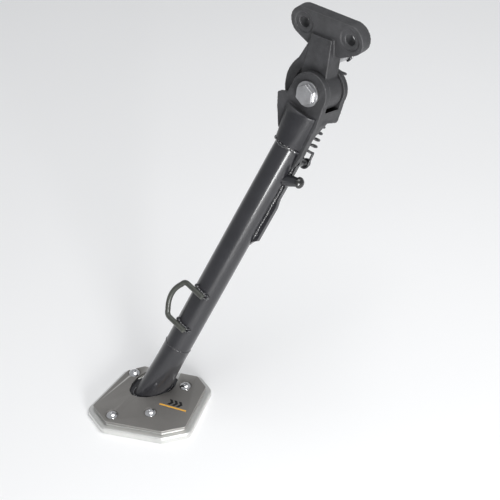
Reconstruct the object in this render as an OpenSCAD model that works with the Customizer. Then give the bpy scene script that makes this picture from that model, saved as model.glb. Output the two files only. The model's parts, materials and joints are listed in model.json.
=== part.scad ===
/* [Stance] */
// Distance from the pivot centre to the top of the ground plate, along the leg
leg_len = 364; // [320:1:400]
// Lean of the leg out from the motorcycle, from the vertical
side_lean = 26; // [22:0.5:30]
// Lean of the leg forwards, from the vertical
fore_lean = 13; // [8:0.5:16]
// Tilt of the pivot axis from the horizontal, inner end down
axis_tilt = 13; // [9:0.5:16]

/* [Leg tube] */
// Outside diameter of the leg tube
tube_d = 27.2; // [26.6:0.1:27.8]
// Wall thickness of the leg tube
tube_wall = 2.6; // [2:0.1:4]
// Length of the long axis of the flared toe
toe_long = 42; // [40:0.5:44]
// Length of the short axis of the flared toe
toe_short = 24; // [22:0.5:25]

/* [Fork and pivot] */
// Radius of the round fork ears
ear_r = 20; // [18:0.5:20]
// Width of the gap between the ears
fork_gap = 21; // [20:0.5:22]
// Thickness of the outer ear
outer_ear_t = 7; // [6:0.5:8]
// Thickness of the inner ear
inner_ear_t = 6; // [5:0.5:7]
// Diameter of the pivot bolt's shank
bolt_d = 14; // [12:0.5:15]

/* [Frame bracket] */
// Distance between the two frame bolts
bolt_spacing = 52; // [48:1:60]
// Diameter of the frame bolt holes
bolt_hole_d = 10.5; // [8.5:0.5:12.5]
// Thickness of the bracket's mounting plate
bracket_t = 12; // [10:0.5:14]

/* [Ground plate] */
// Thickness of the dark top plate
top_t = 3; // [2:0.5:4]
// Total thickness of the base plate
base_t = 8.8; // [8.5:0.1:12]
// Width of the ledge round the top plate
ledge = 5.5; // [4:0.5:7]
// Turn of the ground plate about the vertical
plate_turn = 27; // [20:1:34]
// Thickness of the welded stand foot in the pocket
foot_t = 4.5; // [4:0.1:5]
// Diameter of the button screw heads
screw_head_d = 12; // [10:0.5:13]

/* [Foot loop] */
// Diameter of the loop's rod
loop_rod_d = 5.4; // [5:0.2:7]
// Distance between the loop's two ends, along the leg
loop_span = 42; // [38:1:50]

/* [Return spring] */
// Diameter of the spring wire
wire_d = 2.6; // [2:0.1:3]
// Mean radius of the spring's coils
coil_r = 5.5; // [5:0.1:6.5]
// Whole turns in the spring, before the last half turn
coil_turns = 12; // [8:1:14]

/* [Hidden] */
$fn = 64;

// The pivot centre, seen from the middle of the bolt pattern on the mounting face.
mount_inboard = 18;
mount_above = 58;
pivot = [0, -mount_inboard, -mount_above];
leg_down = -[sin(fore_lean), cos(fore_lean) * sin(side_lean), cos(fore_lean) * cos(side_lean)];
foot_point = pivot + leg_len * leg_down;
tube_r = tube_d / 2;

// Pivot stack, along the pivot axis: negative is outboard.
gap_half = fork_gap / 2;
outer_face = -gap_half - outer_ear_t;
inner_face = gap_half + inner_ear_t;
run_gap = 0.3;
seal_t = 1;
lug_half = gap_half - run_gap - seal_t;
lug_r = 18.5;
bush_wall = 2;
bolt_r = bolt_d / 2;
bore_clearance = 0.05;
bush_in = bolt_r + bore_clearance;
bush_out = bush_in + bush_wall;
thread_r = 5;
washer_t = 1.2;
nut_t = 8;
hex_turn = 30;

// Lean of the leg in the plane that the fork turns in.
swing_lean = atan(sin(fore_lean) / (cos(fore_lean) * cos(side_lean - axis_tilt)));

// Stop faces: angles in the fork's plane, from the rear through the top.
stop_horn_angle = 201;
nose_angle = 202.2;
horn_in = 24.5;
horn_out = 35;
slot_r = 22.5;

// Fork socket, as distances down the leg.
socket_top = 22;
socket_end = 58;
socket_top_r = 21.5;
socket_end_r = 15.4;
tube_start = 37;
toe_start = 302;

// Ends of the spring: the post in the pivot frame, the pin in the leg frame.
post_at = [-3, 38, 26];
pin_at = [2.3, 38, -80];
neck_r = 2.9;
neck_half = 3;
spring_hook_r = neck_r + wire_d / 2 + run_gap;
spring_lead = 13;

// Ground plate heights, from the top plate's upper face down.
foot_top = -top_t;
foot_bottom = foot_top - foot_t;
boss_h = 2;
boss_inset = 1;
base_top = -top_t;
base_ledge = base_top - boss_h;
base_bottom = base_top - base_t;
ledge_bevel = 0.9;
pocket_gap = 0.4;

// Outline of the top plate, round its eight corners.
plate_outline = [[-52.5, -36], [-33, -54.5], [26, -54.5], [47, -42.5],
    [51.5, 17.5], [39, 30.5], [-19, 32], [-34, 22]];
corner_r = 3;
// The four screws: two beside the leg and two along the outer edge.
screws_at = [[-26.5, 20], [30.5, 14], [7, -31.5], [-29.5, -44]];
screw_head_h = 3.2;
screw_r = 3;
screw_socket_r = 2.35;
screw_socket_deep = 1.9;
spot_gap = 0.6;
spot_deep = 0.5;

function turn_x(v, a) = [v.x, v.y * cos(a) - v.z * sin(a), v.y * sin(a) + v.z * cos(a)];
function turn_y(v, a) = [v.x * cos(a) + v.z * sin(a), v.y, v.z * cos(a) - v.x * sin(a)];
function unit(v) = v / norm(v);

// Frames: the pivot's Y axis is the hinge, the leg's Z axis runs up the tube.
module in_pivot() {
    translate(pivot) rotate([-axis_tilt, 0, 0]) children();
}

module in_leg() {
    translate(pivot) rotate([-side_lean, 0, 0]) rotate([0, fore_lean, 0]) children();
}

module in_plate() {
    translate(foot_point) rotate([0, 0, plate_turn]) children();
}

// A cylinder along Y from y0 to y1.
module rod_y(r, y0, y1) {
    translate([0, y1, 0]) rotate([90, 0, 0]) cylinder(r = r, h = y1 - y0);
}

// A hexagonal prism along Y from y0 to y1, by its width across the flats.
module hex_y(flats, y0, y1) {
    translate([0, y1, 0])
        rotate([90, hex_turn, 0])
            cylinder(d = flats / cos(hex_turn), h = y1 - y0, $fn = 6);
}

// A flat shape drawn in X and Z, thick from y0 to y1.
module slab_y(y0, y1) {
    translate([0, y1, 0]) rotate([90, 0, 0]) linear_extrude(height = y1 - y0) children();
}

// Round rods and wires: a tube swept along a list of points.
function tangent(p, i) = unit(p[min(i + 1, len(p) - 1)] - p[max(i - 1, 0)]);
function squared(v, t) = unit(v - (v * t) * t);

module swept_rod(p, r, sides, first) {
    last = len(p) - 1;
    t = [for (i = [0:last]) tangent(p, i)];
    side = [for (i = 0, v = squared(first, t[0]); i <= last;
        i = i + 1, v = i <= last ? squared(v, t[i]) : v) v];
    ring = [for (i = [0:last], k = [0:sides - 1])
        let (a = 360 * k / sides)
            p[i] + r * (cos(a) * side[i] + sin(a) * cross(t[i], side[i]))];
    walls = [for (i = [0:last - 1], k = [0:sides - 1])
        let (n = (k + 1) % sides)
            [i * sides + k, i * sides + n, (i + 1) * sides + n, (i + 1) * sides + k]];
    start_cap = [[for (k = [sides - 1:-1:0]) k]];
    end_cap = [[for (k = [0:sides - 1]) last * sides + k]];
    mirrored = [for (f = concat(walls, start_cap, end_cap)) [for (j = [len(f) - 1:-1:0]) f[j]]];
    polyhedron(points = ring, faces = mirrored, convexity = 8);
}

// ---- Frame bracket, fixed to the motorcycle ----

module mounting_plate() {
    boss_r = 15;
    rib_half = 16;
    rib_h = 6;
    translate(pivot + [0, mount_inboard - bracket_t, mount_above])
        rotate([-90, 0, 0])
            linear_extrude(height = bracket_t)
                hull() {
                    for (side = [-1, 1])
                        translate([side * bolt_spacing / 2, 0]) circle(r = boss_r, $fn = 48);
                    translate([-rib_half, rib_half]) square([2 * rib_half, rib_h]);
                }
}

module ring_sector(r0, r1, a0, a1) {
    steps = 16;
    arc = [for (i = [0:steps]) a0 + (a1 - a0) * i / steps];
    polygon(concat([for (a = arc) r1 * [cos(a), sin(a)]],
        [for (i = [steps:-1:0]) r0 * [cos(arc[i]), sin(arc[i])]]));
}

module frame_bracket() {
    horn_start = 96;
    horn_half = 8;
    web_top = 52;
    room = 120;
    seat_deep = 1;
    color([0.09, 0.09, 0.1])
        difference() {
            union() {
                mounting_plate();
                in_pivot() {
                    rod_y(lug_r, -lug_half, lug_half);
                    slab_y(-lug_half, lug_half)
                        polygon([[-lug_r, 2], [-14, web_top], [9, web_top], [10.5, 15.2]]);
                    slab_y(-horn_half, horn_half)
                        ring_sector(horn_in, horn_out, horn_start, stop_horn_angle);
                    slab_y(-horn_half, horn_half)
                        polygon([[-16, 18], [-25, 24], [-16, 44], [0, 44]]);
                }
            }
            in_pivot() rod_y(bush_out, -fork_gap, fork_gap);
            in_pivot() translate([post_at.x, 0, post_at.z]) rod_y(neck_r, 0, fork_gap);
            translate([-room / 2, 0, -room / 2]) cube(room);
            for (side = [-1, 1])
                translate([side * bolt_spacing / 2, 0, 0])
                    rod_y(bolt_hole_d / 2, -bracket_t - 1, 1);
            for (side = [-1, 1])
                translate([side * bolt_spacing / 2, 0, 0])
                    rod_y(bolt_hole_d, -room / 2, -bracket_t + seat_deep);
        }
}

// One half bush; side is -1 outboard and 1 inboard.
module half_bush(side) {
    middle_gap = 0.4;
    bush_len = lug_half - middle_gap;
    color([0.72, 0.55, 0.28])
        in_pivot()
            mirror([0, side < 0 ? 1 : 0, 0])
                difference() {
                    rod_y(bush_out, middle_gap, bush_len);
                    rod_y(bush_in, 0, fork_gap);
                }
}

module dust_seal(side) {
    seal_r = 15;
    color([0.06, 0.06, 0.06])
        in_pivot()
            mirror([0, side < 0 ? 1 : 0, 0])
                difference() {
                    rod_y(seal_r, lug_half, lug_half + seal_t);
                    rod_y(bolt_r + 1, 0, fork_gap);
                }
}

module spring_post() {
    root_in = 4;
    shoulder_r = 4.6;
    head_r = 4.9;
    head_t = 2;
    color([0.6, 0.6, 0.62])
        in_pivot()
            translate([post_at.x, 0, post_at.z]) {
                rod_y(neck_r, root_in, post_at.y + neck_half);
                rod_y(shoulder_r, lug_half, post_at.y - neck_half);
                rod_y(head_r, post_at.y + neck_half, post_at.y + neck_half + head_t);
            }
}

// ---- Fork and pivot bolt ----

module fork_outline() {
    nose = nose_angle + swing_lean - 6;
    circle(r = ear_r);
    polygon([[0, ear_r - 1], [-ear_r + 0.5, 1], 25 * [cos(nose), sin(nose)],
        36 * [cos(nose), sin(nose)], [-26, -31], [-22, -38], [-17, -48],
        [16, -48], [19, -36], [21.5, -24], [ear_r - 0.3, -2]]);
}

// The opening between the ears, which clears the lug and leaves the nose.
module fork_gap_shape() {
    circle(r = slot_r);
    rotate(-swing_lean) translate([-40, 0]) square([80, 60]);
    ring_sector(12, 60, 60, nose_angle);
}

module fork_solid() {
    rear_web_end = 78;
    gusset_half = 11.5;
    in_pivot()
        rotate([0, swing_lean, 0]) {
            slab_y(outer_face, inner_face) fork_outline();
            slab_y(outer_face, outer_face + outer_ear_t)
                polygon([[4, -30], [21.2, -26], [19.6, -44], [18.6, -60],
                    [16.5, -rear_web_end + 6], [13, -rear_web_end], [4, -rear_web_end]]);
        }
    in_leg()
        translate([0, 0, -socket_end])
            cylinder(r1 = socket_end_r, r2 = socket_top_r, h = socket_end - socket_top);
    in_pivot()
        rotate([0, swing_lean, 0])
            translate([-gusset_half, 0, 0])
                rotate([90, 0, 90])
                    linear_extrude(height = 2 * gusset_half)
                        polygon([[-4, -30], [inner_face - 0.5, -30], [inner_face - 0.5, -42],
                            [3.5, -60], [-8, -60]]);
}

// The slanted rear face of the casting, which leaves room for the spring.
module rear_draft() {
    draft_turn = 27;
    draft_out = 15.5;
    draft_top = 23;
    draft_side = -5;
    in_leg()
        rotate([0, 0, draft_turn])
            translate([draft_out, draft_side, -2 * socket_end])
                cube([socket_end, socket_end, 2 * socket_end - draft_top]);
}

module fork() {
    color([0.13, 0.13, 0.14])
        difference() {
            fork_solid();
            in_pivot() {
                rod_y(bolt_r, outer_face - 1, inner_face + 1);
                slab_y(-gap_half, gap_half) fork_gap_shape();
            }
            in_leg()
                translate([0, 0, -2 * socket_end])
                    cylinder(r = tube_r, h = 2 * socket_end - tube_start);
            rear_draft();
        }
}

module pivot_bolt() {
    flange_r = 12;
    flange_t = 2.5;
    head_flats = 17;
    head_t = 7;
    end_out = 0.2;
    color([0.62, 0.62, 0.64])
        in_pivot() {
            rod_y(bolt_r, outer_face, inner_face);
            rod_y(flange_r, outer_face - flange_t, outer_face);
            hex_y(head_flats, outer_face - head_t, outer_face - flange_t);
            rod_y(thread_r, inner_face, inner_face + washer_t + nut_t + end_out);
        }
}

module nut_washer() {
    washer_r = 11;
    color([0.66, 0.66, 0.68])
        in_pivot()
            difference() {
                rod_y(washer_r, inner_face, inner_face + washer_t);
                rod_y(thread_r, inner_face - 1, inner_face + washer_t + 1);
            }
}

module pivot_nut() {
    nut_flats = 16;
    nut_start = inner_face + washer_t;
    color([0.6, 0.6, 0.62])
        in_pivot()
            difference() {
                hex_y(nut_flats, nut_start, nut_start + nut_t);
                rod_y(thread_r, nut_start - 1, nut_start + nut_t + 1);
            }
}

// ---- Leg ----

// The toe: rings that open from the round tube to an oval on the stand foot.
toe_rings = 9;
toe_sides = 32;
toe_turn = 65;
toe_bend = 34;
toe_centre = foot_point + [-3.1, 2.9, foot_top];

function leg_point(p) = pivot + turn_x(turn_y(p, fore_lean), -side_lean);
function toe_oval(a) = toe_centre
    + toe_long / 2 * cos(a - toe_turn) * [cos(toe_turn), sin(toe_turn), 0]
    + toe_short / 2 * sin(a - toe_turn) * [-sin(toe_turn), cos(toe_turn), 0];
function toe_point(a, s) =
    let (top = leg_point([tube_r * cos(a), tube_r * sin(a), -toe_start]),
        bend = top + toe_bend * leg_down)
        (1 - s) * (1 - s) * top + 2 * s * (1 - s) * bend + s * s * toe_oval(a);

module leg_toe() {
    ring = [for (i = [0:toe_rings], k = [0:toe_sides - 1])
        toe_point(360 * k / toe_sides, i / toe_rings)];
    walls = [for (i = [0:toe_rings - 1], k = [0:toe_sides - 1])
        let (n = (k + 1) % toe_sides)
            [i * toe_sides + k, i * toe_sides + n, (i + 1) * toe_sides + n, (i + 1) * toe_sides + k]];
    top_cap = [[for (k = [toe_sides - 1:-1:0]) k]];
    bottom_cap = [[for (k = [0:toe_sides - 1]) toe_rings * toe_sides + k]];
    color([0.12, 0.12, 0.13])
        polyhedron(points = ring, faces = concat(walls, top_cap, bottom_cap), convexity = 4);
}

module leg_tube() {
    color([0.12, 0.12, 0.13])
        in_leg()
            translate([0, 0, -toe_start])
                difference() {
                    cylinder(r = tube_r, h = toe_start - tube_start);
                    translate([0, 0, -1])
                        cylinder(r = tube_r - tube_wall, h = toe_start);
                }
}

module strip_shape() {
    strip_in = 3.5;
    strip_out = 8;
    slab_y(strip_in, strip_out)
        polygon([[6, -68], [15.5, -66], [16.4, -74], [16.4, -112], [18.4, -121],
            [18.2, -160], [14.5, -163.5], [11.5, -170], [6, -172]]);
}

module rear_strip() {
    color([0.16, 0.16, 0.17])
        difference() {
            in_leg() difference() {
                strip_shape();
                translate([0, 0, -200]) cylinder(r = tube_r, h = 160);
            }
            fork_solid();
        }
}

// The foot loop: two parallel ends and a bowed outer side.
loop_middle = 256;
loop_out = 16.4;
loop_end_x = 7;
loop_corner_x = -14.5;
loop_bend = 6;
loop_bow = 4.5;
loop_half = loop_span / 2;

function loop_half_path() = concat(
    [for (x = [loop_end_x:-3.5:loop_corner_x + 1]) [x, loop_half]],
    [for (a = [90:15:165])
        [loop_corner_x, loop_half - loop_bend] + loop_bend * [cos(a), sin(a)]],
    [for (s = [0.75, 0.5, 0.25, 0])
        [loop_corner_x - loop_bend - loop_bow * (1 - s * s) - 0.6,
            s * (loop_half - loop_bend)]]);

module foot_loop() {
    half = loop_half_path();
    n = len(half);
    path = [for (i = [0:2 * n - 2])
        let (p = i < n ? half[i] : half[2 * n - 2 - i], flip = i < n ? 1 : -1)
            [p.x, -loop_out, flip * p.y - loop_middle]];
    color([0.14, 0.14, 0.15])
        in_leg() swept_rod(path, loop_rod_d / 2, 16, [0, 1, 0]);
}

// The bumper points rearwards and a little up the leg.
bumper_at = [13, 3, -91.5];
bumper_tilt = 65;
lug_len = 15;
lug_end_r = 4.2;

module bumper_frame() {
    in_leg() translate(bumper_at) rotate([0, bumper_tilt, 0]) children();
}

module bumper_lug() {
    lug_base_r = 6.6;
    color([0.15, 0.15, 0.16])
        difference() {
            bumper_frame() cylinder(r1 = lug_base_r, r2 = lug_end_r, h = lug_len);
            in_leg() translate([0, 0, -200]) cylinder(r = tube_r, h = 200);
            in_leg() strip_shape();
        }
}

module bumper_dome() {
    rim_r = 5.6;
    rim_t = 1.4;
    dome_h = 4;
    ball_r = (rim_r * rim_r + dome_h * dome_h) / (2 * dome_h);
    color([0.05, 0.05, 0.05])
        bumper_frame()
            translate([0, 0, lug_len]) {
                cylinder(r = rim_r, h = rim_t);
                difference() {
                    translate([0, 0, rim_t + dome_h - ball_r]) sphere(r = ball_r);
                    translate([-20, -20, rim_t - 40]) cube([40, 40, 40]);
                }
            }
}

module spring_pin() {
    root_in = 8;
    shoulder_r = 3.9;
    head_r = 4.4;
    head_t = 2;
    color([0.14, 0.14, 0.15])
        in_leg()
            translate([pin_at.x, 0, pin_at.z])
                difference() {
                    union() {
                        rod_y(shoulder_r, root_in, pin_at.y - neck_half);
                        rod_y(neck_r, root_in, pin_at.y + neck_half);
                        rod_y(head_r, pin_at.y + neck_half, pin_at.y + neck_half + head_t);
                    }
                    translate([-pin_at.x, 0, -50]) cylinder(r = tube_r, h = 100);
                }
}

// ---- Ground plate ----

module plate_shape(grow) {
    offset(r = grow + corner_r, $fn = 48) offset(delta = -corner_r) polygon(plate_outline);
}

// The same outline made thick, from z0 to z1.
module plate_prism(grow, z0, z1) {
    translate([0, 0, z0]) linear_extrude(height = z1 - z0) plate_shape(grow);
}

// The U-shaped opening that lets the top plate slide round the toe.
slot_outline = [[-14.5, 50], [-14.5, 24.5], [-18.2, 20.5], [-21.3, 14], [-24, 3.6], [-23.7, -5.7],
    [-19.4, -11.6], [-12.6, -13.4], [-3, -11.6], [6.8, -6.4], [17.5, 2.5], [20.5, 11], [20.5, 50]];
slot_corner_r = 3.5;

module leg_slot() {
    offset(r = slot_corner_r, $fn = 48) offset(delta = -slot_corner_r) polygon(slot_outline);
}

module stand_foot_shape(grow = 0) {
    foot_half = 10;
    foot_r = 20;
    foot_centre = [-2.5, 3];
    translate(foot_centre) rotate(toe_turn - plate_turn)
        hull()
            for (side = [-1, 1])
                translate([side * foot_half, 0]) circle(r = foot_r + grow);
}

module stand_foot() {
    color([0.12, 0.12, 0.13])
        in_plate()
            translate([0, 0, foot_bottom]) linear_extrude(height = foot_t) stand_foot_shape();
}

module top_plate() {
    hole_gap = 0.3;
    color([0.42, 0.41, 0.4])
        in_plate()
            difference() {
                plate_prism(0, foot_top, 0);
                translate([0, 0, -top_t - 1]) linear_extrude(height = top_t + 2) leg_slot();
                for (at = screws_at)
                    translate([at.x, at.y, -top_t - 1]) cylinder(r = screw_r + hole_gap, h = top_t + 2);
                for (at = screws_at)
                    translate([at.x, at.y, -spot_deep])
                        cylinder(r = screw_head_d / 2 + spot_gap, h = 1);
            }
}

module base_plate() {
    floor_t = 1.2;
    color([0.74, 0.74, 0.73])
        in_plate()
            difference() {
                union() {
                    plate_prism(-boss_inset, base_ledge - 1, base_top);
                    plate_prism(ledge, base_bottom, base_ledge - ledge_bevel);
                    plate_prism(ledge - ledge_bevel, base_bottom + 1, base_ledge);
                }
                translate([0, 0, foot_bottom])
                    linear_extrude(height = foot_t + 1) stand_foot_shape(pocket_gap);
                for (at = screws_at)
                    translate([at.x, at.y, base_bottom + floor_t]) cylinder(r = screw_r, h = base_t);
            }
}

module plate_screw() {
    dome_r = (pow(screw_head_d / 2, 2) + pow(screw_head_h, 2)) / (2 * screw_head_h);
    seat = -spot_deep;
    shank_end = base_bottom + 2;
    difference() {
        union() {
            intersection() {
                translate([0, 0, seat + screw_head_h - dome_r]) sphere(r = dome_r);
                translate([0, 0, seat]) cylinder(r = screw_head_d, h = screw_head_h);
            }
            translate([0, 0, shank_end]) cylinder(r = screw_r, h = seat - shank_end + 1);
        }
        translate([0, 0, seat + screw_head_h - screw_socket_deep])
            cylinder(r = screw_socket_r, h = 4, $fn = 6);
    }
}

module plate_screws() {
    color([0.8, 0.8, 0.8])
        in_plate()
            for (at = screws_at)
                translate([at.x, at.y, 0]) plate_screw();
}

// ---- Return spring ----

pin_in_pivot = turn_x(turn_y(pin_at, fore_lean), axis_tilt - side_lean);
spring_run = pin_in_pivot - post_at;
spring_len = norm(spring_run);
spring_up = -unit(spring_run);
spring_yaw = asin(spring_up.x);
spring_roll = asin(-spring_up.y / cos(spring_yaw));
hook_steps = 11;
turn_steps = 12;

function hook_arc(z, from, to) = [for (i = [0:hook_steps])
    let (a = from + (to - from) * i / hook_steps)
        [spring_hook_r * sin(a), 0, z + spring_hook_r * cos(a)]];
function coil_path() =
    let (steps = (coil_turns + 0.5) * turn_steps, run = spring_len - 2 * spring_lead)
        [for (i = [0:steps])
            let (a = 180 + 360 * i / turn_steps)
                [coil_r * cos(a), coil_r * sin(a), -spring_lead - run * i / steps]];

module return_spring() {
    path = concat(hook_arc(0, 150, -90), [[-spring_hook_r, 0, -6]],
        coil_path(), [[spring_hook_r, 0, 6 - spring_len]],
        hook_arc(-spring_len, 90, 330));
    color([0.1, 0.1, 0.1])
        in_pivot()
            translate(post_at)
                rotate([spring_roll, 0, 0]) rotate([0, spring_yaw, 0])
                    swept_rod(path, wire_d / 2, 8, [0, 1, 0]);
}

frame_bracket();
half_bush(-1);  // pivot_bush_outer
half_bush(1);  // pivot_bush_inner
dust_seal(-1);  // dust_seal_outer
dust_seal(1);  // dust_seal_inner
spring_post();
fork();
pivot_bolt();
nut_washer();
pivot_nut();
leg_tube();
leg_toe();
rear_strip();
foot_loop();
bumper_lug();
bumper_dome();
spring_pin();
stand_foot();
top_plate();
base_plate();
plate_screws();
return_spring();
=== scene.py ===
import json
import math

import bmesh
import bpy
from mathutils import Matrix, Vector, noise


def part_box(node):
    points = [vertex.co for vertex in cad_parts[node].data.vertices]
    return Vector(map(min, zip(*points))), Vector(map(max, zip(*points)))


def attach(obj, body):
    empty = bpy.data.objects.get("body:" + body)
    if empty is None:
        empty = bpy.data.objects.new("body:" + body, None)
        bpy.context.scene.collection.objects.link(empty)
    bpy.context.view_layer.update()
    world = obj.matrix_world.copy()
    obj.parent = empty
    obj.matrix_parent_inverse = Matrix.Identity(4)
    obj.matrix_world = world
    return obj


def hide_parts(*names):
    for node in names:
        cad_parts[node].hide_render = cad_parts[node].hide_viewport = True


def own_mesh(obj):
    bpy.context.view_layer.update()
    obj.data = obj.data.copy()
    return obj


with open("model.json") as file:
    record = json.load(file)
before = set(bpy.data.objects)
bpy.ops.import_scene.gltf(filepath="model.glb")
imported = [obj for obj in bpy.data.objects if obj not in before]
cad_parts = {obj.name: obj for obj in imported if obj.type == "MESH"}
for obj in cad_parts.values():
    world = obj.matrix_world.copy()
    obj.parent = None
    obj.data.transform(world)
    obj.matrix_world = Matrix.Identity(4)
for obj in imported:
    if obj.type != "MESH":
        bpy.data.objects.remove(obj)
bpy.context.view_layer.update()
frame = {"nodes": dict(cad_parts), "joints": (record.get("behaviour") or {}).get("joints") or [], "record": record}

bl_info = {
    "name": "Motorcycle Kickstand",
    "version": (1, 0, 0),
    "blender": (4, 5, 0),
    "location": "3D View > Sidebar > Kickstand",
    "description": "Finishes a side stand around its packed CAD model",
    "category": "Object",
}

MM = 0.001


# ---- Places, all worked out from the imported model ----

class Place:
    """A local frame in millimetres, set in the row frame in metres."""

    def __init__(self, origin, y_axis, z_axis):
        self.origin = Vector(origin)
        self.z = Vector(z_axis).normalized()
        self.y = (Vector(y_axis) - Vector(y_axis).dot(self.z) * self.z).normalized()
        self.x = self.y.cross(self.z)

    def at(self, x, y, z):
        return self.origin + MM * (x * self.x + y * self.y + z * self.z)


def joint_named(name):
    return next(j for j in frame["joints"] if j["name"] == name)


def mount_named(name):
    return next(m for m in frame["record"]["mounts"] if m["name"] == name)


UP = Vector((0, 0, 1))
REAR = Vector((1, 0, 0))
PIVOT = Vector(joint_named("leg_pivot")["pos_m"])
INBOARD = -Vector(joint_named("leg_pivot")["axis"])
POST = Vector(joint_named("spring_swing")["pos_m"])
GROUND = Vector(mount_named("ground_pad")["pos_m"])
PLATE_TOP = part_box("top_plate")[1].z
FOOT = Vector((GROUND.x, GROUND.y, PLATE_TOP))
LEG_UP = (PIVOT - FOOT).normalized()
LEG = Place(PIVOT, LEG_UP.cross(REAR), LEG_UP)
HINGE = Place(PIVOT, INBOARD, REAR.cross(INBOARD))
PLATE_TURN = math.radians(27)
PLATE = Place(FOOT, (-math.sin(PLATE_TURN), math.cos(PLATE_TURN), 0), UP)
TOP_T = (PLATE_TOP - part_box("top_plate")[0].z) / MM


# ---- Settings ----

def length(name, text, value):
    return bpy.props.FloatProperty(name=name, description=text, default=value, min=0.0)


def colour(name, text, value):
    return bpy.props.FloatVectorProperty(
        name=name, description=text, default=value, size=3, subtype="COLOR", min=0, max=1)


class KickstandSizes(bpy.types.PropertyGroup):
    """Sizes of the pieces, in millimetres."""

    tube_d: length("Leg tube", "Outside diameter of the leg tube, mm", 27.2)
    toe_start: length("Toe start", "Distance from the pivot to the flared toe, mm", 302.0)
    toe_long: length("Toe length", "Long axis of the toe's foot, mm", 42.0)
    toe_short: length("Toe width", "Short axis of the toe's foot, mm", 24.0)
    rod_d: length("Loop rod", "Diameter of the foot loop's rod, mm", 5.4)
    wire_d: length("Spring wire", "Diameter of the spring wire, mm", 2.6)
    coil_r: length("Coil radius", "Mean radius of the spring's coils, mm", 5.5)
    coil_turns: bpy.props.FloatProperty(
        name="Coil turns", description="Turns of the return spring", default=12.5, min=1.0)
    edge: length("Edge rounding", "Factor on the rounding of the machined edges", 1.0)


class KickstandColours(bpy.types.PropertyGroup):
    """Base colours of the finishes."""

    paint: colour("Gloss paint", "Black paint on the leg", (0.012, 0.012, 0.014))
    cast: colour("Cast paint", "Rough cast grey-black of the fork", (0.035, 0.035, 0.037))
    satin: colour("Satin paint", "Greenish black of the foot loop", (0.032, 0.034, 0.029))
    plate: colour("Top plate", "Warm brushed grey of the top plate", (0.20, 0.19, 0.178))
    base: colour("Base plate", "Silver of the base plate", (0.78, 0.78, 0.76))
    bright: colour("Bright steel", "Stainless screws", (0.80, 0.80, 0.81))
    zinc: colour("Zinc plate", "Plated bolt, nut and post", (0.55, 0.55, 0.56))
    bronze: colour("Bronze", "Half bushes", (0.60, 0.38, 0.16))
    rubber: colour("Rubber", "Seals and bumper cap", (0.012, 0.012, 0.012))
    amber: colour("Amber enamel", "Bar of the plate's mark", (0.80, 0.42, 0.06))


def sizes():
    return bpy.context.scene.kickstand_sizes


def colours():
    return bpy.context.scene.kickstand_colours


# ---- Shader maths ----

class Wire:
    """An output socket. Arithmetic on it adds Math nodes to its material."""

    def __init__(self, finish, socket):
        self.finish = finish
        self.socket = socket

    def math(self, operation, *others):
        values = dict(enumerate((self,) + others))
        return self.finish.add("ShaderNodeMath", {"operation": operation}, values)

    def reflected(self, operation, other):
        return self.finish.add("ShaderNodeMath", {"operation": operation}, {0: other, 1: self})

    def __add__(self, other):
        return self.math("ADD", other)

    __radd__ = __add__

    def __sub__(self, other):
        return self.math("SUBTRACT", other)

    def __rsub__(self, other):
        return self.reflected("SUBTRACT", other)

    def __mul__(self, other):
        return self.math("MULTIPLY", other)

    __rmul__ = __mul__

    def __truediv__(self, other):
        return self.math("DIVIDE", other)

    def __pow__(self, other):
        return self.math("POWER", other)

    def dot(self, vector):
        settings = {"operation": "DOT_PRODUCT"}
        inputs = {0: self, 1: tuple(vector)}
        return self.finish.add("ShaderNodeVectorMath", settings, inputs, "Value")

    def minus(self, vector):
        settings = {"operation": "SUBTRACT"}
        return self.finish.add("ShaderNodeVectorMath", settings, {0: self, 1: tuple(vector)})

    def spread(self, low, high, start=0.0, end=1.0):
        inputs = {"Value": self, "From Min": low, "From Max": high, "To Min": start, "To Max": end}
        return self.finish.add("ShaderNodeMapRange", {"clamp": True}, inputs)


class Finish:
    """One procedural material with a Principled shader."""

    def __init__(self, name, **constants):
        self.material = bpy.data.materials.new(name)
        self.material.use_nodes = True
        self.tree = self.material.node_tree
        self.shader = self.tree.nodes["Principled BSDF"]
        for socket, value in constants.items():
            self.shader.inputs[socket.replace("_", " ")].default_value = value
        self.here = self.add("ShaderNodeTexCoord", {}, {}, "Object")

    def add(self, kind, settings, inputs, output=0):
        node = self.tree.nodes.new(kind)
        for key, value in settings.items():
            setattr(node, key, value)
        for key, value in inputs.items():
            if isinstance(value, Wire):
                self.tree.links.new(value.socket, node.inputs[key])
            else:
                node.inputs[key].default_value = value
        return Wire(self, node.outputs[output])

    def noise(self, scale, detail=3.0, rough=0.5, where=None):
        inputs = {"Vector": where or self.here, "Scale": scale, "Detail": detail}
        inputs["Roughness"] = rough
        return self.add("ShaderNodeTexNoise", {"noise_dimensions": "3D"}, inputs, "Fac")

    def stretched(self, turn, scale):
        """Coordinates turned about Z and stretched, for brush lines."""
        inputs = {"Vector": self.here, "Rotation": (0, 0, turn), "Scale": scale}
        return self.add("ShaderNodeMapping", {"vector_type": "TEXTURE"}, inputs)

    def mix(self, factor, low, high):
        def full(value):
            return value if isinstance(value, Wire) else (*value, 1.0)
        settings = {"data_type": "RGBA", "blend_type": "MIX"}
        return self.add("ShaderNodeMix", settings, {0: factor, 6: full(low), 7: full(high)}, 2)

    def edges(self, low=0.52, high=0.6):
        bend = self.add("ShaderNodeNewGeometry", {}, {}, "Pointiness")
        return bend.spread(low, high)

    def feed(self, socket, wire):
        self.tree.links.new(wire.socket, self.shader.inputs[socket])

    def bump(self, height, strength, distance):
        inputs = {"Strength": strength, "Distance": distance, "Height": height}
        self.feed("Normal", self.add("ShaderNodeBump", {}, inputs, "Normal"))


def scaled(rgb, factor):
    return tuple(min(1.0, channel * factor) for channel in rgb)


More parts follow.
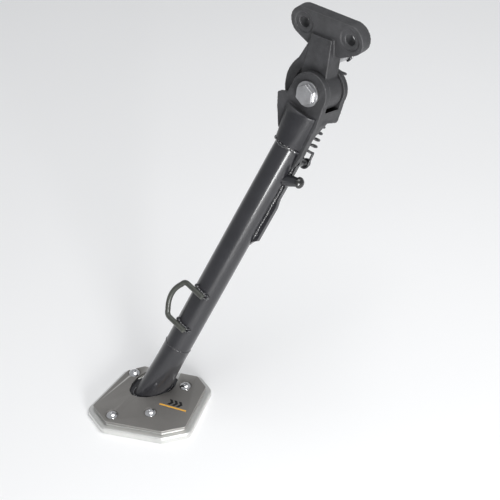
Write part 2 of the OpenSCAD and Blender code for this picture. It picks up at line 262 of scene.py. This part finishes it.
def gloss_paint():
    f = Finish("gloss_black_paint", IOR=1.5, Specular_IOR_Level=0.35,
        Coat_Weight=0.7, Coat_Roughness=0.08)
    paint = tuple(colours().paint)
    peel = f.noise(420, 2.0)
    dust = f.noise(35, 5.0, 0.65)
    scratch = f.noise(60, 4.0, 0.7, f.stretched(0.6, (1.0, 0.12, 0.12)))
    scuffs = scratch.spread(0.66, 0.74) * dust.spread(0.5, 0.62)
    worn = f.mix(scuffs * 0.5, f.mix(dust, paint, scaled(paint, 1.9)), (0.12, 0.12, 0.12))
    f.feed("Base Color", f.mix(f.edges(0.56, 0.66) * 0.5, worn, (0.16, 0.16, 0.16)))
    f.feed("Roughness", dust.spread(0.3, 0.75, 0.27, 0.37) + scuffs * 0.15)
    f.bump(peel * 0.6 + dust * 0.4, 0.16, 0.0004)
    return f.material


# The fork's socket is a smooth cone: its radius, where it starts and how fast it narrows.
CONE_R = 21.5
CONE_TOP = 22.0
CONE_FALL = 0.17


def cast_paint():
    f = Finish("cast_black_paint", IOR=1.5, Specular_IOR_Level=0.4)
    cast = tuple(colours().cast)
    grain = f.noise(1300, 4.0, 0.7)
    lumps = f.noise(260, 4.0, 0.6)
    tone = f.noise(60, 4.0, 0.6)
    spot = f.here.minus(PIVOT)
    across = spot.dot(LEG.x) * 1000
    side = spot.dot(LEG.y) * 1000
    down = spot.dot(LEG.z) * -1000
    radius = (across * across + side * side) ** 0.5
    cone = radius + (down - CONE_TOP) * CONE_FALL
    sleeve = cone.spread(CONE_R + 1.1, CONE_R + 0.5)
    sleeve = sleeve * (down + across * 0.3).spread(CONE_TOP + 2, CONE_TOP + 4)
    rough = f.mix(tone.spread(0.3, 0.7), scaled(cast, 0.75), scaled(cast, 1.5))
    speck = f.mix(grain.spread(0.6, 0.72) * 0.6, rough, scaled(cast, 3.0))
    worn = f.mix(f.edges() * 0.5, speck, (0.2, 0.2, 0.2))
    smooth = f.mix(tone, tuple(colours().paint), scaled(colours().paint, 1.8))
    f.feed("Base Color", f.mix(sleeve, worn, smooth))
    f.feed("Roughness", grain.spread(0.3, 0.7, 0.42, 0.58) - sleeve * 0.16)
    f.bump((lumps * 0.6 + grain * 0.4) * (1.15 - sleeve), 0.5, 0.0006)
    return f.material


def satin_paint():
    f = Finish("satin_black_paint", IOR=1.5, Coat_Weight=0.25, Coat_Roughness=0.3)
    satin = tuple(colours().satin)
    tone = f.noise(90, 4.0, 0.6)
    grain = f.noise(1500, 3.0)
    painted = f.mix(tone, satin, scaled(satin, 2.0))
    f.feed("Base Color", f.mix(tone.spread(0.62, 0.75) * 0.5, painted, (0.16, 0.15, 0.12)))
    f.feed("Roughness", tone.spread(0.3, 0.7, 0.3, 0.44))
    f.bump(grain, 0.2, 0.0003)
    return f.material


def weld_paint():
    f = Finish("painted_weld", IOR=1.5, Coat_Weight=0.7, Coat_Roughness=0.1)
    paint = tuple(colours().paint)
    ripple = f.noise(700, 3.0, 0.6)
    spots = f.noise(240, 3.0, 0.5)
    worn = spots.spread(0.55, 0.7) * 0.5
    f.feed("Base Color", f.mix(worn, scaled(paint, 1.5), (0.14, 0.135, 0.13)))
    f.feed("Roughness", spots.spread(0.3, 0.7, 0.14, 0.3))
    f.bump(ripple, 0.4, 0.0005)
    return f.material


def brushed_plate():
    f = Finish("brushed_grey_steel", Metallic=1.0)
    plate = tuple(colours().plate)
    along = f.stretched(PLATE_TURN + math.radians(62), (0.045, 1.0, 1.0))
    lines = f.noise(2600, 3.0, 0.6, along)
    broad = f.noise(500, 2.0, 0.5, along)
    cloud = f.noise(18, 3.0, 0.5)
    toned = f.mix(cloud.spread(0.3, 0.7), scaled(plate, 0.86), scaled(plate, 1.12))
    streaked = f.mix(lines.spread(0.35, 0.7) * 0.22, toned, scaled(plate, 1.7))
    f.feed("Base Color", f.mix(f.edges(0.51, 0.56) * 0.8, streaked, (0.75, 0.74, 0.72)))
    f.feed("Roughness", broad.spread(0.3, 0.7, 0.42, 0.56) + cloud * 0.05)
    f.bump(lines * 0.7 + broad * 0.3, 0.12, 0.0002)
    return f.material


def blasted_silver():
    f = Finish("bead_blasted_silver", Metallic=1.0)
    base = tuple(colours().base)
    grain = f.noise(2400, 3.0, 0.7)
    mill = f.noise(900, 2.0, 0.5, f.stretched(0.0, (1.0, 1.0, 0.1)))
    cloud = f.noise(30, 4.0, 0.6)
    toned = f.mix(cloud.spread(0.3, 0.7), scaled(base, 0.88), base)
    f.feed("Base Color", f.mix(grain.spread(0.6, 0.8) * 0.3, toned, scaled(base, 0.7)))
    f.feed("Roughness", grain.spread(0.3, 0.7, 0.40, 0.52))
    f.bump(grain * 0.7 + mill * 0.3, 0.22, 0.0002)
    return f.material


def bright_steel():
    f = Finish("bright_stainless", Metallic=1.0)
    bright = tuple(colours().bright)
    cloud = f.noise(400, 3.0, 0.6)
    swirl = f.noise(3000, 2.0, 0.5)
    f.feed("Base Color", f.mix(cloud.spread(0.45, 0.7) * 0.5, bright, scaled(bright, 0.6)))
    f.feed("Roughness", cloud.spread(0.3, 0.7, 0.10, 0.22))
    f.bump(swirl, 0.08, 0.0001)
    return f.material


def zinc_plate():
    f = Finish("zinc_plated_steel", Metallic=1.0)
    zinc = tuple(colours().zinc)
    cloud = f.noise(120, 4.0, 0.6)
    grain = f.noise(1800, 3.0, 0.6)
    dull = f.mix(cloud.spread(0.35, 0.7), zinc, scaled(zinc, 0.65))
    f.feed("Base Color", f.mix(f.edges() * 0.6, dull, scaled(zinc, 1.5)))
    f.feed("Roughness", cloud.spread(0.3, 0.7, 0.24, 0.42))
    f.bump(grain, 0.15, 0.0002)
    return f.material


def turned_bronze():
    f = Finish("turned_bronze", Metallic=1.0)
    bronze = tuple(colours().bronze)
    rings = f.noise(1500, 2.0, 0.5, f.stretched(0.0, (1.0, 0.08, 1.0)))
    cloud = f.noise(200, 3.0)
    f.feed("Base Color", f.mix(cloud, bronze, scaled(bronze, 0.55)))
    f.feed("Roughness", rings.spread(0.3, 0.7, 0.25, 0.4))
    f.bump(rings, 0.2, 0.0002)
    return f.material


def black_rubber():
    f = Finish("black_rubber", IOR=1.45, Coat_Weight=0.5, Coat_Roughness=0.15)
    rubber = tuple(colours().rubber)
    dust = f.noise(250, 4.0, 0.6)
    grain = f.noise(2200, 2.0)
    f.feed("Base Color", f.mix(dust.spread(0.5, 0.75) * 0.4, rubber, (0.08, 0.078, 0.072)))
    f.feed("Roughness", dust.spread(0.3, 0.7, 0.22, 0.4))
    f.bump(grain, 0.12, 0.0002)
    return f.material


def spring_paint():
    f = Finish("spring_black", IOR=1.5, Coat_Weight=0.3, Coat_Roughness=0.2)
    paint = tuple(colours().paint)
    flake = f.noise(500, 4.0, 0.7)
    chipped = flake.spread(0.62, 0.7) * 0.7
    f.feed("Base Color", f.mix(chipped, scaled(paint, 1.6), (0.2, 0.19, 0.18)))
    f.feed("Roughness", flake.spread(0.3, 0.7, 0.25, 0.4))
    f.bump(flake, 0.2, 0.0002)
    return f.material


def enamel(name, rgb):
    f = Finish(name, IOR=1.5, Coat_Weight=0.4, Coat_Roughness=0.15)
    tone = f.noise(700, 4.0, 0.7)
    f.feed("Base Color", f.mix(tone.spread(0.5, 0.75) * 0.5, rgb, scaled(rgb, 0.6)))
    f.feed("Roughness", tone.spread(0.3, 0.7, 0.28, 0.42))
    f.bump(tone, 0.1, 0.0001)
    return f.material


FINISHES = {
    "gloss_black": gloss_paint, "cast_paint": cast_paint, "bracket_paint": cast_paint,
    "satin_black": satin_paint, "weld": weld_paint, "brushed_grey": brushed_plate,
    "bead_silver": blasted_silver, "bright_steel": bright_steel, "zinc_steel": zinc_plate,
    "bronze": turned_bronze, "rubber": black_rubber, "spring_black": spring_paint,
}
made_finishes = {}


def finish(slot):
    maker = FINISHES[slot]
    if maker not in made_finishes:
        made_finishes[maker] = maker()
    return made_finishes[maker]


# ---- Mesh helpers ----

def shade(mesh, angle=35.0):
    mesh.polygons.foreach_set("use_smooth", [True] * len(mesh.polygons))
    mesh.set_sharp_from_angle(angle=math.radians(angle))


def add_piece(name, mesh, body, slot, material=None, replaces=(), angle=35.0):
    """Links a mesh as a piece that rides on a body and takes a slot's finish."""
    piece = bpy.data.objects.new(name, mesh)
    bpy.context.scene.collection.objects.link(piece)
    mesh.materials.clear()
    mesh.materials.append(material or finish(slot))
    shade(mesh, angle)
    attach(piece, body)
    if replaces:
        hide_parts(*replaces)
    return piece


def mesh_from(name, verts, faces):
    mesh = bpy.data.meshes.new(name)
    mesh.from_pydata([tuple(v) for v in verts], [], faces)
    build = bmesh.new()
    build.from_mesh(mesh)
    bmesh.ops.recalc_face_normals(build, faces=build.faces)
    build.to_mesh(mesh)
    build.free()
    return mesh


def loft(name, rings, caps=True, closed=False):
    """Skins rings of points that all have the same count."""
    count = len(rings[0])
    verts = [p for ring in rings for p in ring]
    faces = []
    spans = len(rings) if closed else len(rings) - 1
    for i in range(spans):
        j = (i + 1) % len(rings)
        for k in range(count):
            n = (k + 1) % count
            faces.append((i * count + k, i * count + n, j * count + n, j * count + k))
    if caps and not closed:
        faces.append(tuple(range(count)))
        faces.append(tuple(range((len(rings) - 1) * count, len(rings) * count)))
    return mesh_from(name, verts, faces)


def sweep(name, path, radius, sides=20, closed=False):
    """A rod along a path; radius is a number or a function of the point's index."""
    count = len(path)
    rings = []
    side = None
    for i, point in enumerate(path):
        if closed:
            ahead = (path[(i + 1) % count] - path[i - 1]).normalized()
        else:
            ahead = (path[min(i + 1, count - 1)] - path[max(i - 1, 0)]).normalized()
        if side is None:
            side = ahead.orthogonal()
        side = (side - side.dot(ahead) * ahead).normalized()
        over = ahead.cross(side)
        r = MM * (radius(i) if callable(radius) else radius)
        turns = [2 * math.pi * k / sides for k in range(sides)]
        rings.append([point + r * (math.cos(a) * side + math.sin(a) * over) for a in turns])
    return loft(name, rings, closed=closed)


def resample(points, step):
    """Points spaced evenly, step millimetres apart, along a polyline."""
    total = [0.0]
    for a, b in zip(points, points[1:]):
        total.append(total[-1] + (b - a).length)
    count = max(2, round(total[-1] / (step * MM)))
    spaced = []
    j = 0
    for i in range(count + 1):
        target = total[-1] * i / count
        while j < len(points) - 2 and total[j + 1] < target:
            j += 1
        span = total[j + 1] - total[j]
        share = 0.0 if span == 0 else (target - total[j]) / span
        spaced.append(points[j].lerp(points[j + 1], min(1.0, share)))
    return spaced


def weld_bead(name, points, radius, body, pitch=2.6, closed=False):
    """A rippled weld bead that swells and thins a little along its way."""
    step = 0.55
    path = resample(points + [points[0]] if closed else points, step)
    if closed:
        path = path[:-1]

    def swell(i):
        ripple = abs(math.sin(math.pi * i * step / pitch))
        wander = noise.noise(path[i] * 140)
        ends = 1.0 if closed else min(1.0, (min(i, len(path) - 1 - i) + 1) / 5)
        return radius * (0.80 + 0.26 * ripple + 0.30 * wander) * (0.35 + 0.65 * ends)

    mesh = sweep(name, path, swell, sides=14, closed=closed)
    return add_piece(name, mesh, body, "gloss_black", finish("weld"), angle=60)


def cad_copy(node):
    return frame["nodes"][node].data.copy()


def with_modifiers(mesh, *modifiers):
    """Applies modifiers, given as (type, settings), to a mesh and returns the result."""
    holder = bpy.data.objects.new("holder", mesh)
    bpy.context.scene.collection.objects.link(holder)
    for kind, settings in modifiers:
        modifier = holder.modifiers.new(kind.lower(), kind)
        for key, value in settings.items():
            setattr(modifier, key, value)
    graph = bpy.context.evaluated_depsgraph_get()
    made = bpy.data.meshes.new_from_object(holder.evaluated_get(graph))
    bpy.data.objects.remove(holder)
    return made


def joined_up(mesh):
    """Welds split corners and merges flat triangles into plain faces."""
    build = bmesh.new()
    build.from_mesh(mesh)
    bmesh.ops.remove_doubles(build, verts=build.verts, dist=0.02 * MM)
    bmesh.ops.dissolve_limit(
        build, angle_limit=math.radians(0.6), verts=build.verts, edges=build.edges)
    build.to_mesh(mesh)
    build.free()
    return mesh


# Width above which a face of a machined piece is shaded flat, mm.
FLAT_FACE = 7.0


def bevelled(node, body, slot, width):
    """A machined piece: the CAD solid with its edges rounded by a width in millimetres."""
    mesh = with_modifiers(joined_up(cad_copy(node)), ("BEVEL", {
        "width": width * sizes().edge * MM, "segments": 3, "limit_method": "ANGLE",
        "angle_limit": math.radians(28), "use_clamp_overlap": True}))
    piece = add_piece(node + "_finished", mesh, body, slot, replaces=(node,))
    broad = (FLAT_FACE * MM) ** 2
    for face in piece.data.polygons:
        if face.area > broad:
            face.use_smooth = False


def cast_piece(node, body, slot, voxel, rounds):
    """A cast or forged piece: the CAD solid with softened edges and a slightly uneven skin."""
    mesh = with_modifiers(joined_up(cad_copy(node)),
        ("REMESH", {"mode": "VOXEL", "voxel_size": voxel * MM, "use_smooth_shade": True}),
        ("SMOOTH", {"factor": 0.5, "iterations": rounds}))
    normals = [v.normal.copy() for v in mesh.vertices]
    moved = []
    for vertex, normal in zip(mesh.vertices, normals):
        lump = noise.noise(vertex.co * 120) * 0.12 + noise.noise(vertex.co * 420) * 0.05
        moved.extend(vertex.co + normal * lump * MM)
    mesh.vertices.foreach_set("co", moved)
    mesh.update()
    return add_piece(node + "_casting", mesh, body, slot, replaces=(node,), angle=60)


# ---- Shapes of the pieces ----

# The leg, in millimetres down from the pivot, and its flared toe.
TUBE_START = 38
RING_SIDES = 96
TOE_TURN = math.radians(65)
TOE_CENTRE = FOOT + Vector((-3.1, 2.9, -TOP_T)) * MM
TOE_BEND = 34.0
RIDGE_AT = math.radians(188)
RIDGE_R = 0.7

# The welds, the spring's pin and the hooks that hold it.
SOCKET_WELD_AT = 59.5
STRIP_RUN = range(68, 161, 2)
PIN_AT = (2.3, 38.0, -80.0)
HOOK_INSIDE = 3.65
HOOK_STEPS = 28
SPRING_LEAD = 13.0


def toe_oval(angle):
    """A point on the oval where the toe meets the stand foot."""
    s = sizes()
    along = math.cos(angle - TOE_TURN) * s.toe_long / 2
    over = math.sin(angle - TOE_TURN) * s.toe_short / 2
    ahead = Vector((math.cos(TOE_TURN), math.sin(TOE_TURN), 0))
    return TOE_CENTRE + MM * (along * ahead + over * Vector((-ahead.y, ahead.x, 0)))


def toe_point(angle, share):
    """A point on the flared toe: share runs from the tube to the foot."""
    r = sizes().tube_d / 2
    top = LEG.at(r * math.cos(angle), r * math.sin(angle), -sizes().toe_start)
    bend = top - LEG.z * TOE_BEND * MM
    low = toe_oval(angle)
    return top * (1 - share) ** 2 + bend * 2 * share * (1 - share) + low * share ** 2


def leg_rings():
    """Rings down the tube and on through the toe."""
    s = sizes()
    turns = [2 * math.pi * k / 72 for k in range(72)]
    r = s.tube_d / 2
    rings = []
    for z in range(TUBE_START, int(s.toe_start), 6):
        rings.append([LEG.at(r * math.cos(a), r * math.sin(a), -z) for a in turns])
    for i in range(31):
        rings.append([toe_point(a, i / 30) for a in turns])
    return rings


def ring_on_leg(down, radius, wobble=0.0):
    """A ring round the leg, at a distance down it from the pivot."""
    points = []
    for k in range(RING_SIDES):
        a = 2 * math.pi * k / RING_SIDES
        z = -down + wobble * math.sin(5 * a)
        points.append(LEG.at(radius * math.cos(a), radius * math.sin(a), z))
    return points


# The foot loop, in the leg's millimetres: a bowed outer side between two straight ends.
LOOP_MIDDLE = 256.0
LOOP_OUT = 16.4
LOOP_HALF = 21.0
LOOP_BEND = 6.0
LOOP_CORNER = -14.5
LOOP_BOW = 4.5


def loop_path():
    """The middle line of the loop's rod."""
    half = [(7.0 - 0.7 * i, LOOP_HALF) for i in range(31)]
    for i in range(13):
        a = math.radians(90 + 6.5 * i)
        x = LOOP_CORNER + LOOP_BEND * math.cos(a)
        half.append((x, LOOP_HALF - LOOP_BEND + LOOP_BEND * math.sin(a)))
    for i in range(1, 21):
        s = 1 - i / 20
        x = LOOP_CORNER - LOOP_BEND - LOOP_BOW * (1 - s * s) - 0.6
        half.append((x, s * (LOOP_HALF - LOOP_BEND)))
    whole = half + [(x, -y) for x, y in reversed(half[:-1])]
    return resample([LEG.at(x, -LOOP_OUT, y - LOOP_MIDDLE) for x, y in whole], 0.9)


def on_tube(x, z, lift=0.0):
    """A point on the outboard side of the tube."""
    r = sizes().tube_d / 2 + lift
    return LEG.at(x, -math.sqrt(max(0.0, r * r - x * x)), z)


def spring_frame():
    """The spring's own frame, from its post towards its pin, and its length."""
    run = LEG.at(*PIN_AT) - POST
    return Place(POST, HINGE.y, -run), run.length / MM


def spring_path(span):
    """The middle line of the spring's wire: hook, coils, hook."""
    s = sizes()
    hook = HOOK_INSIDE + s.wire_d / 2
    points = []
    for i in range(HOOK_STEPS + 1):
        a = math.radians(150 - 240 * i / HOOK_STEPS)
        points.append((hook * math.sin(a), 0, hook * math.cos(a)))
    points.append((-hook, 0, -6))
    steps = int(s.coil_turns * HOOK_STEPS)
    for i in range(steps + 1):
        a = math.pi + 2 * math.pi * i / HOOK_STEPS
        z = -SPRING_LEAD - (span - 2 * SPRING_LEAD) * i / steps
        points.append((s.coil_r * math.cos(a), s.coil_r * math.sin(a), z))
    points.append((hook, 0, 6 - span))
    for i in range(HOOK_STEPS + 1):
        a = math.radians(90 + 240 * i / HOOK_STEPS)
        points.append((hook * math.sin(a), 0, hook * math.cos(a) - span))
    return points


# ---- Operators, one for each piece or group of like pieces ----

class KICKSTAND_OT_leg(bpy.types.Operator):
    """Makes the leg: one smooth skin for the tube and its flared toe"""
    bl_idname = "kickstand.leg"
    bl_label = "Leg"

    def execute(self, context):
        mesh = loft("leg_skin", leg_rings())
        add_piece("leg_skin", mesh, "leg", "gloss_black",
            replaces=("leg_tube", "leg_toe"), angle=50)
        ridge = [toe_point(RIDGE_AT, 0.25 + 0.7 * i / 30) for i in range(31)]
        add_piece("toe_ridge", sweep("toe_ridge", resample(ridge, 1.0), RIDGE_R, 12),
            "leg", "gloss_black", finish("weld"))
        return {"FINISHED"}


class KICKSTAND_OT_castings(bpy.types.Operator):
    """Makes the cast fork and the forged frame bracket"""
    bl_idname = "kickstand.castings"
    bl_label = "Fork and bracket"

    def execute(self, context):
        cast_piece("fork", "leg", "cast_paint", 0.55, 6)
        cast_piece("frame_bracket", "bracket", "bracket_paint", 0.7, 4)
        return {"FINISHED"}


class KICKSTAND_OT_welds(bpy.types.Operator):
    """Lays the weld beads"""
    bl_idname = "kickstand.welds"
    bl_label = "Weld beads"

    def execute(self, context):
        r = sizes().tube_d / 2
        socket = ring_on_leg(SOCKET_WELD_AT, r + 0.3, 0.6)
        weld_bead("socket_weld", socket, 2.0, "leg", 4.2, True)
        toe_joint = ring_on_leg(sizes().toe_start + 1, r - 0.25)
        weld_bead("toe_joint_weld", toe_joint, 0.75, "leg", 2.0, True)
        strip = [LEG.at(13.9 + 0.2 * math.sin(w / 4), 2.3, -w) for w in STRIP_RUN]
        weld_bead("strip_weld_outer", strip, 1.5, "leg", 3.2)
        inner = [LEG.at(11.6, 8.8, -w) for w in STRIP_RUN]
        weld_bead("strip_weld_inner", inner, 1.4, "leg", 3.0)
        for name, side in (("upper", 1), ("lower", -1)):
            z = -LOOP_MIDDLE + side * LOOP_HALF
            for tag, offset in (("over", 3.1), ("under", -3.1)):
                run = [on_tube(-9.5 + i, z + offset * (1.0 - 0.03 * i), 0.6) for i in range(18)]
                weld_bead(f"loop_weld_{name}_{tag}", run, 2.0, "leg", 3.4)
            end = [on_tube(9.3 - abs(i - 4) * 0.4, z - 3.2 + 0.8 * i, 0.7) for i in range(9)]
            weld_bead(f"loop_weld_{name}_end", end, 2.2, "leg", 3.0)
        foot = [toe_oval(2 * math.pi * k / 90) + UP * 0.5 * MM for k in range(90)]
        weld_bead("toe_weld", foot, 1.5, "leg", 2.8, True)
        return {"FINISHED"}


class KICKSTAND_OT_loop(bpy.types.Operator):
    """Bends the foot loop from round rod"""
    bl_idname = "kickstand.loop"
    bl_label = "Foot loop"

    def execute(self, context):
        mesh = sweep("foot_loop_rod", loop_path(), sizes().rod_d / 2, 28)
        add_piece("foot_loop_rod", mesh, "leg", "satin_black", replaces=("foot_loop",))
        return {"FINISHED"}


class KICKSTAND_OT_strip(bpy.types.Operator):
    """Makes the rear strip, the bumper peg and its cap, and the spring pin"""
    bl_idname = "kickstand.strip"
    bl_label = "Rear strip, bumper and pin"

    def execute(self, context):
        bevelled("rear_strip", "leg", "gloss_black", 0.5)
        bevelled("bumper_lug", "leg", "gloss_black", 0.6)
        bevelled("bumper_dome", "leg", "rubber", 0.35)
        bevelled("spring_pin", "leg", "gloss_black", 0.5)
        return {"FINISHED"}


class KICKSTAND_OT_pivot(bpy.types.Operator):
    """Finishes the pivot's bolt, nut, washer, bushes, seals and the spring post"""
    bl_idname = "kickstand.pivot"
    bl_label = "Pivot"

    def execute(self, context):
        bevelled("pivot_bolt", "leg", "zinc_steel", 0.5)
        bevelled("pivot_nut", "leg", "zinc_steel", 0.4)
        bevelled("nut_washer", "leg", "zinc_steel", 0.2)
        for side in ("outer", "inner"):
            bevelled("pivot_bush_" + side, "bracket", "bronze", 0.2)
            bevelled("dust_seal_" + side, "bracket", "rubber", 0.2)
        bevelled("spring_post", "bracket", "zinc_steel", 0.5)
        return {"FINISHED"}


class KICKSTAND_OT_plate(bpy.types.Operator):
    """Finishes the stand foot, the ground plate and its screws"""
    bl_idname = "kickstand.plate"
    bl_label = "Ground plate"

    def execute(self, context):
        bevelled("stand_foot", "leg", "gloss_black", 0.4)
        bevelled("top_plate", "leg", "brushed_grey", 0.35)
        bevelled("base_plate", "leg", "bead_silver", 0.4)
        bevelled("plate_screws", "leg", "bright_steel", 0.2)
        return {"FINISHED"}


def flat_patch(name, outline, low, high):
    """A thin raised patch on the plate, from an outline in plate millimetres."""
    count = len(outline)
    verts = [PLATE.at(x, y, low) for x, y in outline] + [PLATE.at(x, y, high) for x, y in outline]
    faces = [tuple(range(count)), tuple(range(count, 2 * count))]
    faces += [(k, (k + 1) % count, count + (k + 1) % count, count + k) for k in range(count)]
    return mesh_from(name, verts, faces)


MARK_TURN = Matrix.Rotation(math.radians(-7.5), 2)
MARK_MIDDLE = Vector((27.0, -19.5))
MARK_LOW = -0.05
MARK_HIGH = 0.12


def on_mark(points):
    """Points of the mark, turned and moved into place on the plate."""
    return [MARK_MIDDLE + MARK_TURN @ Vector(p) for p in points]


class KICKSTAND_OT_mark(bpy.types.Operator):
    """Adds a plain enamel mark: a bar under three chevrons"""
    bl_idname = "kickstand.mark"
    bl_label = "Plate mark"

    def execute(self, context):
        amber = enamel("amber_enamel", tuple(colours().amber))
        black = enamel("black_enamel", (0.01, 0.01, 0.01))
        bar = on_mark([(-14.5, -0.9), (14.5, -0.9), (14.5, 0.9), (-14.5, 0.9)])
        piece = flat_patch("mark_bar", bar, MARK_LOW, MARK_HIGH)
        add_piece("mark_bar", piece, "leg", "brushed_grey", amber)
        for i in range(3):
            x = -7.5 + 5.0 * i
            shape = on_mark([(x, 2.4), (x + 3, 2.4), (x + 5.6, 6.2),
                (x + 3, 10), (x, 10), (x + 2.6, 6.2)])
            patch = flat_patch(f"mark_chevron_{i}", shape, MARK_LOW, MARK_HIGH)
            add_piece(f"mark_chevron_{i}", patch, "leg", "brushed_grey", black)
        return {"FINISHED"}


class KICKSTAND_OT_spring(bpy.types.Operator):
    """Winds the return spring as it sits at rest and hangs it on the body that swings on its post"""
    bl_idname = "kickstand.spring"
    bl_label = "Return spring"

    def execute(self, context):
        place, span = spring_frame()
        path = resample([place.at(*p) for p in spring_path(span)], 1.0)
        mesh = sweep("spring_coil", path, sizes().wire_d / 2, 14)
        piece = add_piece("spring_coil", mesh, "spring", "spring_black",
            replaces=("return_spring",))
        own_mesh(piece)
        return {"FINISHED"}


def area_light(name, away, distance, size, power, target, along=UP):
    """A panel that faces the target, its long side turned along a direction."""
    data = bpy.data.lights.new(name, "AREA")
    data.shape = "RECTANGLE"
    data.size, data.size_y = size
    data.energy = power
    lamp = bpy.data.objects.new(name, data)
    bpy.context.scene.collection.objects.link(lamp)
    back = away.normalized()
    side = along.cross(back).normalized()
    turn = Matrix((side, back.cross(side), back)).transposed().to_4x4()
    lamp.matrix_world = Matrix.Translation(target + back * distance) @ turn
    lamp.visible_camera = False


def strip_direction(eye, target, turn):
    """Where a panel must be for its reflection to run along the leg, turned from the eye."""
    view = (eye - target).normalized()
    facing = (view - view.dot(LEG_UP) * LEG_UP).normalized()
    normal = Matrix.Rotation(math.radians(turn), 3, LEG_UP) @ facing
    return 2 * normal.dot(view) * normal - view


# The camera: its place seen from the pivot, in metres, and where it looks.
EYE = PIVOT + Vector((0.6364, -0.8298, 0.6294))
EYE_AZIMUTH = math.radians(41)
EYE_ELEVATION = math.radians(38)
LENS = 95.04
FLOOR_HALF = 6.0


class KICKSTAND_OT_stage(bpy.types.Operator):
    """Sets the floor, the lights and the camera"""
    bl_idname = "kickstand.stage"
    bl_label = "Stage"

    def execute(self, context):
        corners = [(x * FLOOR_HALF, y * FLOOR_HALF, GROUND.z)
            for x, y in ((-1, -1), (1, -1), (1, 1), (-1, 1))]
        floor_mesh = mesh_from("floor", corners, [(0, 1, 2, 3)])
        floor = bpy.data.objects.new("floor", floor_mesh)
        context.scene.collection.objects.link(floor)
        paper = Finish("floor_paper", Roughness=0.9)
        tone = paper.noise(3.0, 2.0)
        paper.feed("Base Color", paper.mix(tone, (0.90, 0.90, 0.90), (0.93, 0.93, 0.93)))
        floor_mesh.materials.append(paper.material)

        world = bpy.data.worlds.new("studio")
        world.use_nodes = True
        background = world.node_tree.nodes["Background"]
        background.inputs["Color"].default_value = (0.95, 0.97, 1.0, 1)
        background.inputs["Strength"].default_value = 0.4
        context.scene.world = world
        context.scene.view_settings.view_transform = "Standard"

        middle = (PIVOT + FOOT) / 2
        key = strip_direction(EYE, middle, 14)
        area_light("key_strip", key, 1.0, (0.30, 1.5), 34, middle, LEG_UP)
        side = strip_direction(EYE, middle, 42)
        area_light("side_strip", side, 1.2, (0.6, 1.2), 5, middle, LEG_UP)
        area_light("top_box", Vector((0.2, 0.1, 1.0)), 1.9, (1.4, 1.4), 24, middle)

        camera_data = bpy.data.cameras.new("camera")
        camera_data.sensor_width = 36.0
        camera_data.lens = LENS
        camera = bpy.data.objects.new("camera", camera_data)
        context.scene.collection.objects.link(camera)
        level = math.cos(EYE_ELEVATION)
        back = Vector((math.sin(EYE_AZIMUTH) * level, -math.cos(EYE_AZIMUTH) * level,
            math.sin(EYE_ELEVATION)))
        camera.location = EYE
        camera.rotation_euler = (-back).to_track_quat("-Z", "Y").to_euler()
        context.scene.camera = camera
        return {"FINISHED"}


class KICKSTAND_PT_panel(bpy.types.Panel):
    """Lists the sizes, the colours and the pieces"""
    bl_label = "Kickstand"
    bl_space_type = "VIEW_3D"
    bl_region_type = "UI"
    bl_category = "Kickstand"

    def draw(self, context):
        for group in (context.scene.kickstand_sizes, context.scene.kickstand_colours):
            for name in group.__annotations__:
                self.layout.prop(group, name)
        for operator in OPERATORS:
            self.layout.operator(operator.bl_idname)


OPERATORS = (
    KICKSTAND_OT_stage, KICKSTAND_OT_leg, KICKSTAND_OT_castings, KICKSTAND_OT_welds,
    KICKSTAND_OT_loop, KICKSTAND_OT_strip, KICKSTAND_OT_pivot, KICKSTAND_OT_plate,
    KICKSTAND_OT_mark, KICKSTAND_OT_spring,
)
CLASSES = (KickstandSizes, KickstandColours) + OPERATORS + (KICKSTAND_PT_panel,)


def register():
    for cls in CLASSES:
        bpy.utils.register_class(cls)
    bpy.types.Scene.kickstand_sizes = bpy.props.PointerProperty(type=KickstandSizes)
    bpy.types.Scene.kickstand_colours = bpy.props.PointerProperty(type=KickstandColours)


def unregister():
    del bpy.types.Scene.kickstand_sizes
    del bpy.types.Scene.kickstand_colours
    for cls in reversed(CLASSES):
        bpy.utils.unregister_class(cls)


def main():
    register()
    for operator in OPERATORS:
        group, name = operator.bl_idname.split(".")
        getattr(getattr(bpy.ops, group), name)()


if __name__ == "__main__":
    main()
